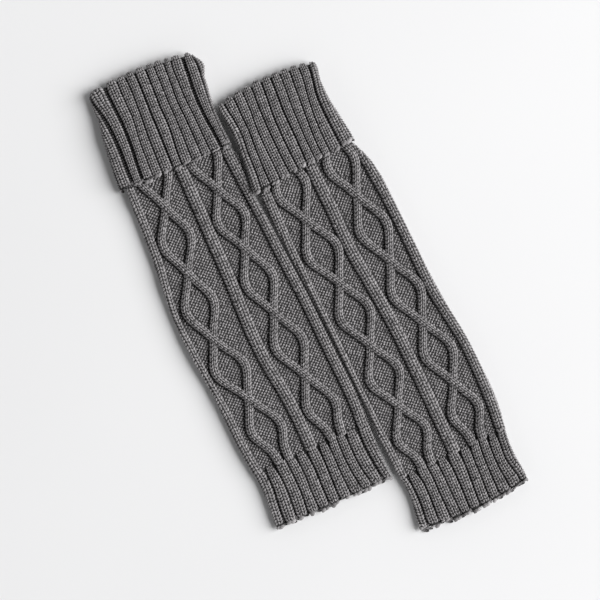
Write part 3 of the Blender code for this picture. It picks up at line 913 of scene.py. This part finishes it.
def cast_off(ribs, down, course):
    """The chain of loops along a free edge: spindles end to end round it, further down on the ribs,
    and on each rib with its own sway.
    """
    lines = ribs.lines(np.array([down]))[0]
    steps = [np.linspace(a, b, EDGE_LOOPS + 1)[:-1] for a, b in zip(lines[:-1], lines[1:])]
    around = np.concatenate(steps)
    p, q = np.meshgrid(*FINE, indexing="ij")
    count = len(around)
    uneven = rng.normal(0, 1, (count, 1, 1))
    sway = np.repeat(rng.normal(0, EDGE_SWAY, len(lines) - 1), EDGE_LOOPS)[:, None, None]
    length = np.diff(np.append(around, lines[-1]))[:, None, None] * EDGE_LENGTH
    row = np.full((1, count), down)
    height = ribs.relief(ribs.layout(row)[0], around[None], row)[0][:, None, None]
    width = course * LEG_REACH * (1 - 0.5 * p**2) * (1 + 0.25 * uneven)
    offset = rng.uniform(0, FIBRE_SHIFT, (count, 1, 1))
    return {
        "around": around[:, None, None] + p * length,
        "down": down + 0.8 * height - q * width - 0.6 * p + 0.5 * uneven + sway,
        "rise": height * 0.85 + 0.3 * uneven + 0 * p,
        "drop": 1.2 * (1 - np.sqrt(np.maximum(0, 1 - q**2))) + 0.6 * np.abs(p) ** 3 + 0 * height,
        "yarn": np.stack([p * length + offset, q * 1.2 + 0 * height], axis=-1),
        "tone": np.clip(rng.normal(*EDGE_TONE, (count, 1, 1)), 0, 1) + 0 * p,
    }


# ---- Hems -----------------------------------------------------------------------------------------
# The ribbed band at the ankle, cast off along its free edge, where the cloth turns in. Most of its ribs
# grow out of the leg's columns and strands, and four new ones come up out of the purl between them.

HEM_COURSE = 2.8
NEW_RIBS = [1, 4, 6, 9]
NEW_SPREAD = 2.8  # how much wider the valleys beside them are at the seam, where they start
SEAM_RISE = 0.2  # of its height, that a rib gains towards the seam and that a new one starts with
RIB_GROWTH = 12.0  # from the seam to where all ribs have their height
TURNED_IN = 24.0
HEM_LIP = table("step depth", (0, 0.9), (0.2, 1.3), (-0.3, 1.9), (-12, 2.0), (-TURNED_IN, 2.0))
HEM_VALLEYS = {
    "left": {
        "gaps": (1.3, 1.1, 0.9, 0.7, 1.3, 1.1, 0.7, 0.9, 0.9, 1.8),
        "rows": table(
            "down 0 1 2 3 4 5 6 7 8 9",
            (366, -45.0, -35.8, -24.2, -15.0, -4.4, 7.2, 16.7, 25.6, 34.2, 45.6),
            (385, -44.8, -34.0, -23.3, -13.7, -3.4, 7.2, 16.7, 25.0, 33.9, 45.6),
            (400, -46.4, -34.5, -23.3, -14.4, -3.9, 6.7, 16.7, 25.8, 34.8, 46.7),
            (416, -47.6, -35.9, -24.8, -14.4, -4.1, 6.2, 17.3, 27.9, 37.8, 48.6),
        ),
    },
    "right": {
        "gaps": (1.3, 1.1, 0.9, 0.7, 1.1, 1.1, 0.9, 0.9, 0.9, 0.9),
        "rows": table(
            "down 0 1 2 3 4 5 6 7 8 9",
            (372, -43.8, -34.9, -23.7, -14.2, -4.2, 8.0, 18.8, 28.2, 36.7, 45.4),
            (385, -43.1, -33.0, -23.3, -13.9, -3.7, 7.8, 17.1, 26.3, 34.9, 44.1),
            (400, -43.3, -33.3, -23.9, -14.2, -4.0, 6.7, 16.3, 25.2, 34.1, 43.0),
            (420, -45.5, -34.9, -24.2, -14.3, -5.3, 4.6, 14.6, 24.4, 35.1, 46.2),
        ),
    },
}


def make_hem(side, warmer):
    """The hem's cloth, knit ribs and cast-off edge."""
    seam, edge = warmer["hem_seam"], warmer["hem_edge"]
    valleys = HEM_VALLEYS[side]
    new = np.zeros(2 * len(valleys["gaps"]))
    new[NEW_RIBS] = 1
    beside_new = np.append(new, 0) + np.append(0, new)

    def rises(down):
        grown = smooth((down[..., None] - seam) / RIB_GROWTH)
        return RIB_RISE * (1 + (SEAM_RISE - new) * (1 - grown))

    def spread(down):
        at_seam = NEW_SPREAD * np.exp(-(((down[..., None] - seam) / 5) ** 2))
        return at_seam * beside_new + END_SPREAD * np.exp(-(((down[..., None] - edge) / 3) ** 2))

    ribs = Ribbing(leg_layout(warmer), valleys["gaps"], valleys["rows"], rises, spread)
    downs = np.arange(seam, edge, CLOTH_ROW)
    depths = np.append(np.full_like(downs, CLOTH_DEPTH), HEM_LIP["depth"])
    downs = np.append(downs, edge + HEM_LIP["step"])
    node, material = f"{side}_hem", rib_painted_shade_cloth_material
    cloth = make_cloth(node, warmer, ribs.layout, downs, depths, ribs.relief, material)
    rows = np.arange(seam + HEM_COURSE / 2, edge - 1.0, HEM_COURSE)
    kinds = [*ribs.stitches(rows, HEM_COURSE, 1), cast_off(ribs, edge - EDGE_ROW, HEM_COURSE)]
    knit = make_yarn(f"{side}_hem_knit", warmer, ribs.layout, kinds, rib_yarn_material)
    length = (edge - seam + TURNED_IN) * MM


for side, warmer in WARMERS.items():
    make_hem(side, warmer)


# ---- Turned cuffs ---------------------------------------------------------------------------------
# The band at the top is a long ribbing folded down over itself. Its outer layer is loose, from the fold
# at the top to its cast-off edge, and its inner layer runs down inside to the seam with the leg.

FOLD_RADIUS = 2.3
CUFF_HEIGHT = 9.8
CUFF_COURSE = 2.57
CUFF_LIP = table("step depth", (0, 0.9), (0.2, 1.3), (-0.3, 1.9), (-7, 2.0))
RIBS_UNEVEN = (0.8, 1.2)  # the least and most of a rib's height
RIBS_END = 2.7  # radii of the fold past the turn, where the ribs have run out
RIBS_FADE = 2.5
TIP_LENGTH = 4.0  # to each side of the fold's tip, where the valleys are wider
SEAM_CLEAR = 4.0  # from the inner layer's end to the seam
CUFFS = {
    "left": {
        "fold": -7.5,
        "sides": table(
            "down left right",
            (-10, -53.6, 47.8), (-4, -54.2, 48.6), (1, -54.4, 51.6), (8, -54.5, 53.4),
            (13, -54.5, 52.0), (19, -54.6, 49.6), (27, -56.2, 48.8), (38, -58.6, 47.4),
            (50, -59.7, 46.2), (72, -61.9, 45.9), (90, -62.8, 46.9),
        ),
        "gaps": (3.4, 2.8, 0.6, 0.8, 1.4, 1.1, 0.6, 0.8, 0.7, 2.8, 1.5),
        "valleys": table(
            "down 0 1 2 3 4 5 6 7 8 9 10",
            (-5, -53.4, -36.8, -24.7, -16.2, -7.0, 3.2, 11.3, 20.3, 27.0, 38.0, 46.6),
            (5, -52.0, -36.8, -25.0, -15.9, -7.0, 2.8, 10.9, 19.7, 25.8, 37.0, 47.4),
            (15, -49.6, -36.4, -25.0, -16.3, -7.4, 2.4, 10.6, 19.0, 25.6, 36.2, 46.8),
            (30, -47.8, -35.7, -24.9, -17.2, -8.1, 1.7, 10.2, 17.8, 25.3, 34.8, 45.4),
            (50, -47.4, -36.2, -27.4, -18.9, -8.6, 1.7, 10.2, 18.3, 26.1, 34.6, 43.6),
            (75, -48.6, -38.7, -29.0, -20.0, -9.4, -0.9, 9.1, 18.3, 26.5, 36.6, 43.6),
            (86, -48.8, -39.5, -29.5, -20.4, -9.8, -1.4, 8.7, 18.2, 26.8, 37.2, 44.0),
        ),
    },
    "right": {
        "fold": -3.5,
        "sides": table(
            "down left right",
            (-6, -51.4, 44.0), (4, -52.8, 44.4), (14, -51.8, 42.5), (36, -51.6, 41.9),
            (50, -52.4, 43.2), (63, -53.8, 44.6), (77, -56.8, 46.0), (88, -58.4, 46.3),
        ),
        "gaps": (0.9, 0.9, 0.7, 0.9, 1.1, 1.3, 0.7, 0.9, 0.8, 1.8),
        "valleys": table(
            "down 0 1 2 3 4 5 6 7 8 9",
            (-4, -45.8, -35.8, -26.2, -17.2, -7.2, 2.0, 11.0, 20.0, 28.6, 37.0),
            (5, -45.4, -35.9, -26.7, -17.8, -8.1, 1.3, 10.3, 19.1, 28.2, 36.8),
            (15, -44.2, -36.3, -27.2, -18.9, -9.1, 0.6, 9.4, 18.1, 27.0, 35.2),
            (30, -43.6, -36.3, -28.9, -19.8, -10.9, -0.8, 7.8, 16.7, 24.4, 32.4),
            (50, -45.7, -38.2, -29.7, -20.2, -11.7, -1.1, 6.7, 14.8, 21.9, 31.4),
            (70, -47.2, -39.4, -29.7, -20.2, -11.7, -1.7, 6.1, 13.4, 21.0, 31.8),
            (83, -49.0, -39.8, -30.0, -19.8, -11.3, -2.4, 6.3, 13.8, 21.0, 32.2),
        ),
    },
}


def cuff_layout(warmer, cuff):
    """Where cloth of the cuff lies, by its way along the band.

    The way equals the distance down on the outer layer. Above the turn it goes round the fold by its
    angle, as a half circle inwards, and past it down again inside, where it narrows into the leg
    between six and nine tenths of the way to the seam.
    """
    turn = cuff["fold"] + FOLD_RADIUS
    edge = warmer["cuff_edge"]

    def layout(way):
        tip = np.clip((turn - way) / FOLD_RADIUS, 0, math.pi)
        inside = np.maximum(0, turn - way - math.pi * FOLD_RADIUS)
        down = np.maximum(way, turn) - FOLD_RADIUS * np.sin(tip) + inside
        depth = FOLD_RADIUS * (1 - np.cos(tip))
        narrow = smooth((down - 0.6 * edge) / (0.3 * edge)) * (inside > 0)
        leg_left, leg_right, lift, _ = leg_section(warmer, down)
        left = read(cuff["sides"], "left", down) + depth
        right = read(cuff["sides"], "right", down) - depth
        left = left + (leg_left + WALL - left) * narrow
        right = right + (leg_right - WALL - right) * narrow
        bottom = depth + (lift + WALL - depth) * narrow
        return (left, right, bottom, CUFF_HEIGHT / 2 - depth), down, tip

    return layout


def make_cuff(side, warmer):
    """The cuff's cloth in one sheet, from its free edge over the fold to its seam, with its knit ribs."""
    cuff = CUFFS[side]
    edge, turn = warmer["cuff_edge"], cuff["fold"] + FOLD_RADIUS
    inside = turn - math.pi * FOLD_RADIUS
    heights = RIB_RISE * rng.uniform(*RIBS_UNEVEN, 2 * len(cuff["gaps"]))

    def rises(way):
        return heights * smooth((way[..., None] - turn + RIBS_END * FOLD_RADIUS) / RIBS_FADE)

    def spread(way):
        tip = turn - math.pi / 2 * FOLD_RADIUS
        return END_SPREAD * np.exp(-(((way[..., None] - tip) / TIP_LENGTH) ** 2))

    ribs = Ribbing(cuff_layout(warmer, cuff), cuff["gaps"], cuff["valleys"], rises, spread)
    ways = np.concatenate(
        [
            np.linspace(inside - (edge - turn - SEAM_CLEAR), inside, 14)[:-1],
            np.linspace(inside, turn, 9)[:-1],
            np.linspace(turn, edge - 0.8, round((edge - turn) / CLOTH_ROW)),
        ]
    )
    depths = np.append(np.full_like(ways, CLOTH_DEPTH), CUFF_LIP["depth"])
    ways = np.append(ways, edge + CUFF_LIP["step"])
    node, material = f"{side}_cuff", rib_painted_shade_cloth_material
    cloth = make_cloth(node, warmer, ribs.layout, ways, depths, ribs.relief, material)
    rows = np.arange(edge - 2.2, inside - 5, -CUFF_COURSE)[::-1]
    kinds = [*ribs.stitches(rows, CUFF_COURSE, -1), cast_off(ribs, edge - EDGE_ROW, CUFF_COURSE)]
    knit = make_yarn(f"{side}_cuff_knit", warmer, ribs.layout, kinds, rib_yarn_material)
    length = (2 * (edge - turn) + math.pi * FOLD_RADIUS) * MM


for side, warmer in WARMERS.items():
    make_cuff(side, warmer)
